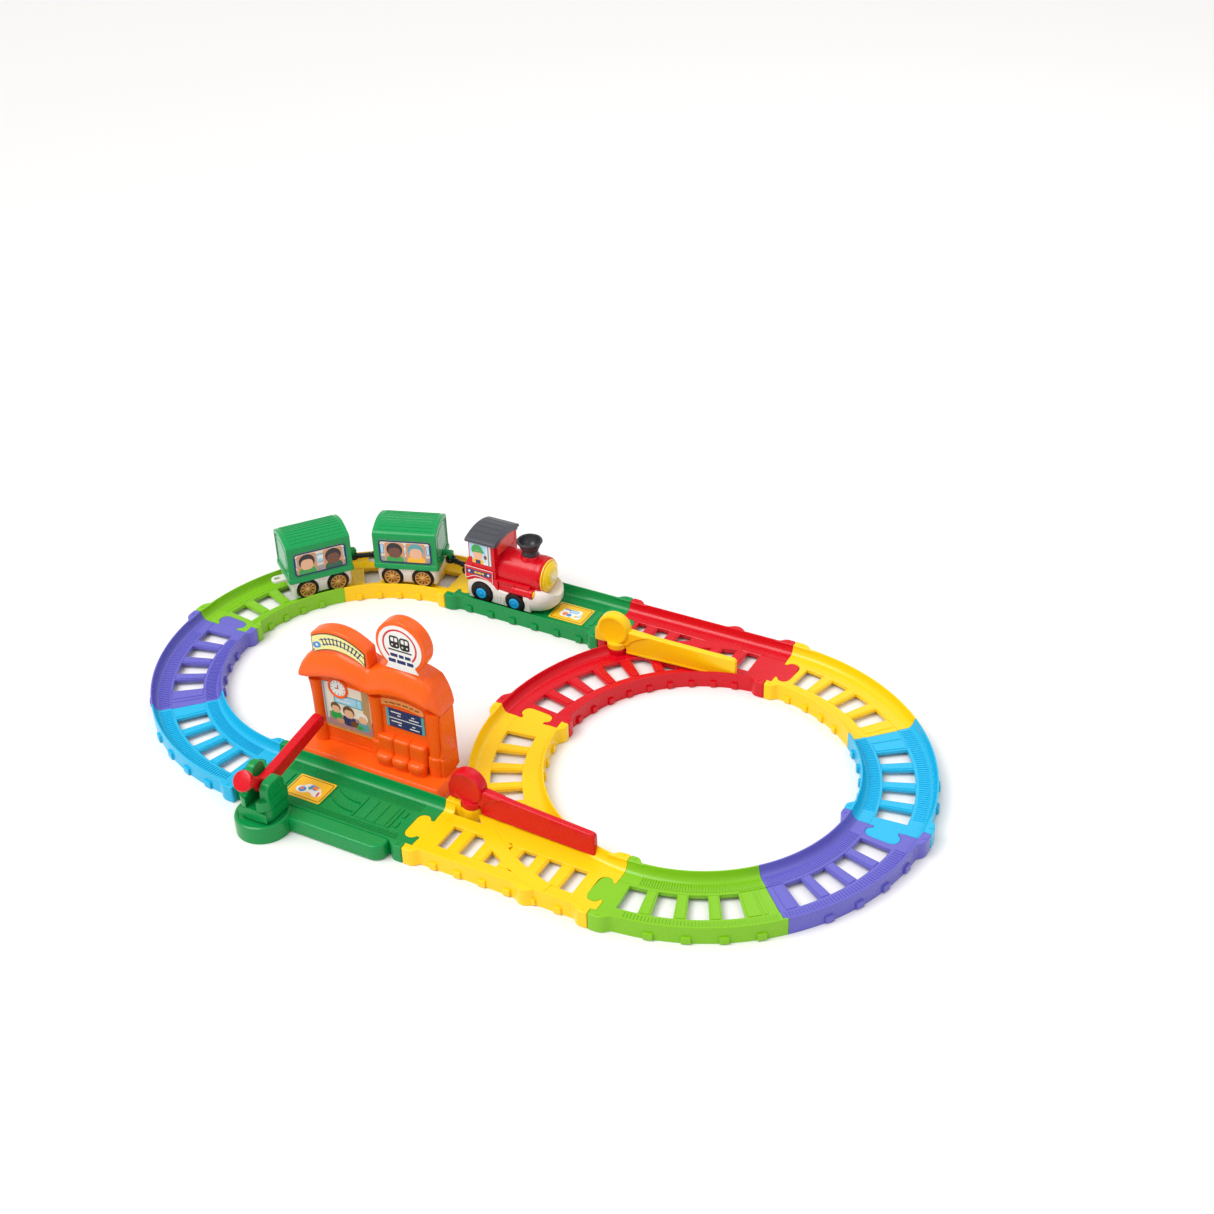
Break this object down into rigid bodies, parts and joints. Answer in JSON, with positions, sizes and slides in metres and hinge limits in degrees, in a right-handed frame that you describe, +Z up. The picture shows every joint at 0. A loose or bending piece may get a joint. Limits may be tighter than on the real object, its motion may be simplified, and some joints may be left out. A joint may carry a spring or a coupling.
{
  "type": "electric train set",
  "caption": "Plastic toy railway: an oval track with a switched inner branch, a battery engine pulling two carriages, a station and a lifting barrier.",
  "frame": {"origin": "on the floor, below the middle of the whole set's box", "axes": "+X along the straights, from the plain loop to the loop with the inner branch; +Y from the station side to the side the engine stands on; +Z up"},
  "size_m": [1.012, 0.6014, 0.218],
  "materials": {
    "lime": "injection moulded, smooth with a soft gloss",
    "purple": "injection moulded, smooth with a soft gloss",
    "cyan": "injection moulded, smooth with a soft gloss",
    "yellow": "injection moulded, smooth with a soft gloss",
    "red": "injection moulded, smooth with a soft gloss",
    "green": "injection moulded, smooth with a soft gloss",
    "orange": "injection moulded, smooth with a soft gloss",
    "grey": "injection moulded, smooth with a soft gloss",
    "white": "injection moulded, smooth with a soft gloss",
    "black": "matte moulded rubber",
    "carriage_green": "injection moulded, smooth with a soft gloss",
    "label": "printed paper label under clear film",
    "steel": "turned",
    "brass": "machined",
    "circuit_green": "solder mask",
    "cell_wrap": "printed shrink wrap",
    "print_blue": "printed paper label under clear film",
    "print_white": "printed paper label under clear film",
    "lens_yellow": "injection moulded, smooth with a soft gloss",
    "clear": "injection moulded, smooth with a soft gloss"
  },
  "bodies": {
    "root": {"track_curve_right_lime": "lime", "track_curve_right_purple": "purple", "track_curve_right_cyan": "cyan", "track_curve_right_yellow": "yellow", "track_curve_left_lime": "lime", "track_curve_left_purple": "purple", "track_curve_left_cyan": "cyan", "track_curve_left_yellow": "yellow", "track_straight_green": "green", "track_station_green": "green", "track_switch_red": "red", "track_switch_yellow": "yellow", "track_plate_back": "label", "track_plate_front": "label", "barrier_tower": "green", "barrier_pin": "steel", "station_base": "orange", "station_front_shell": "orange", "station_back_shell": "orange", "poster_panel": "print_white", "clock_dial": "print_white", "board_panel": "print_blue", "name_sign_panel": "label", "round_sign_panel": "print_white"},
    "switch_lever_yellow": {"switch_lever_yellow": "yellow"},
    "switch_lever_red": {"switch_lever_red": "red"},
    "barrier_arm": {"barrier_arm": "red"},
    "engine": {"engine_chassis": "white", "engine_body": "red", "engine_cab_roof": "grey", "engine_funnel": "grey", "engine_hitch": "black", "drive_motor": "steel", "battery_left": "cell_wrap", "battery_right": "cell_wrap", "battery_door": "white", "battery_door_screw": "steel", "circuit_board": "circuit_green", "speaker": "black", "face_lamp": "clear"},
    "engine_rear_wheels": {"engine_rear_axle": "steel", "engine_wheel_rear_left": "black", "engine_wheel_rear_right": "black", "drive_gear": "white"},
    "engine_front_wheels": {"engine_front_axle": "steel", "engine_wheel_front_left": "black", "engine_wheel_front_right": "black"},
    "motor_pinion": {"motor_pinion": "brass"},
    "engine_face_button": {"engine_face_button": "lens_yellow"},
    "power_switch": {"power_switch": "black"},
    "carriage_2": {"carriage_2_shell": "carriage_green", "carriage_2_chassis": "white"},
    "carriage_2_front_wheels": {"carriage_2_front_wheels": "black"},
    "carriage_2_rear_wheels": {"carriage_2_rear_wheels": "black"},
    "carriage_2_link": {"carriage_2_link": "black"},
    "carriage_1": {"carriage_1_shell": "carriage_green", "carriage_1_chassis": "white"},
    "carriage_1_front_wheels": {"carriage_1_front_wheels": "black"},
    "carriage_1_rear_wheels": {"carriage_1_rear_wheels": "black"},
    "carriage_1_link": {"carriage_1_link": "black"}
  },
  "joints": [
    {"name": "engine_drive", "type": "slide", "parent": "root", "child": "engine", "axis": [1, 0, 0], "range_m": [0, 0.05]},
    {"name": "engine_rear_wheels_spin", "type": "hinge", "parent": "engine", "child": "engine_rear_wheels", "pos_m": [-0.183, 0.2497, 0.0258], "axis": [0, 1, 0], "range_deg": [0, 186]},
    {"name": "engine_front_wheels_spin", "type": "hinge", "parent": "engine", "child": "engine_front_wheels", "pos_m": [-0.133, 0.2497, 0.0238], "axis": [0, 1, 0], "range_deg": [0, 214]},
    {"name": "motor_pinion_spin", "type": "hinge", "parent": "engine", "child": "motor_pinion", "pos_m": [-0.183, 0.2497, 0.0383], "axis": [0, 1, 0], "range_deg": [-372, 0]},
    {"name": "engine_face_button_press", "type": "slide", "parent": "engine", "child": "engine_face_button", "axis": [-1, 0, 0], "range_m": [0, 0.002], "stiffness_N_per_m": 300},
    {"name": "power_switch_slide", "type": "slide", "parent": "engine", "child": "power_switch", "axis": [1, 0, 0], "range_m": [-0.002, 0.002]},
    {"name": "carriage_2_run", "type": "hinge", "parent": "root", "child": "carriage_2", "pos_m": [-0.23, 0.0247, 0], "axis": [0, 0, 1], "range_deg": [-12.8, 0]},
    {"name": "carriage_2_front_wheels_spin", "type": "hinge", "parent": "carriage_2", "child": "carriage_2_front_wheels", "pos_m": [-0.2834, 0.24428, 0.0243], "axis": [-0.3256, 0.9455, 0], "range_deg": [0, 206]},
    {"name": "carriage_2_rear_wheels_spin", "type": "hinge", "parent": "carriage_2", "child": "carriage_2_rear_wheels", "pos_m": [-0.32311, 0.2306, 0.0243], "axis": [-0.3256, 0.9455, 0], "range_deg": [0, 206]},
    {"name": "carriage_2_link_swing", "type": "hinge", "parent": "engine", "child": "carriage_2_link", "pos_m": [-0.224, 0.2497, 0.036], "axis": [0, 0, 1], "range_deg": [-2, 2]},
    {"name": "carriage_1_run", "type": "hinge", "parent": "root", "child": "carriage_1", "pos_m": [-0.23, 0.0247, 0], "axis": [0, 0, 1], "range_deg": [-12.8, 0]},
    {"name": "carriage_1_front_wheels_spin", "type": "hinge", "parent": "carriage_1", "child": "carriage_1_front_wheels", "pos_m": [-0.39572, 0.17833, 0.0243], "axis": [-0.7934, 0.6088, 0], "range_deg": [0, 206]},
    {"name": "carriage_1_rear_wheels_spin", "type": "hinge", "parent": "carriage_1", "child": "carriage_1_rear_wheels", "pos_m": [-0.42129, 0.14501, 0.0243], "axis": [-0.7934, 0.6088, 0], "range_deg": [0, 206]},
    {"name": "carriage_1_link_swing", "type": "hinge", "parent": "carriage_2", "child": "carriage_1_link", "pos_m": [-0.35242, 0.22051, 0.036], "axis": [0, 0, 1], "range_deg": [-2, 2]},
    {"name": "switch_lever_yellow_swing", "type": "hinge", "parent": "root", "child": "switch_lever_yellow", "pos_m": [0.029, 0.1987, 0.018], "axis": [0, 0, 1], "range_deg": [0, 25]},
    {"name": "switch_lever_red_swing", "type": "hinge", "parent": "root", "child": "switch_lever_red", "pos_m": [0.029, -0.1493, 0.018], "axis": [0, 0, -1], "range_deg": [0, 25]},
    {"name": "barrier_arm_lift", "type": "hinge", "parent": "root", "child": "barrier_arm", "pos_m": [-0.173, -0.2613, 0.056], "axis": [1, 0, 0], "range_deg": [-10, 60]}
  ],
  "couplings": [
    {"joint": "engine_rear_wheels_spin", "follows": "engine_drive", "rad_per_m": 64.516},
    {"joint": "engine_front_wheels_spin", "follows": "engine_drive", "rad_per_m": 74.074},
    {"joint": "motor_pinion_spin", "follows": "engine_drive", "rad_per_m": -129.03},
    {"joint": "carriage_2_run", "follows": "engine_drive", "rad_per_m": -4.4444},
    {"joint": "carriage_2_front_wheels_spin", "follows": "engine_drive", "rad_per_m": 71.429},
    {"joint": "carriage_2_rear_wheels_spin", "follows": "engine_drive", "rad_per_m": 71.429},
    {"joint": "carriage_1_run", "follows": "engine_drive", "rad_per_m": -4.4444},
    {"joint": "carriage_1_front_wheels_spin", "follows": "engine_drive", "rad_per_m": 71.429},
    {"joint": "carriage_1_rear_wheels_spin", "follows": "engine_drive", "rad_per_m": 71.429}
  ]
}
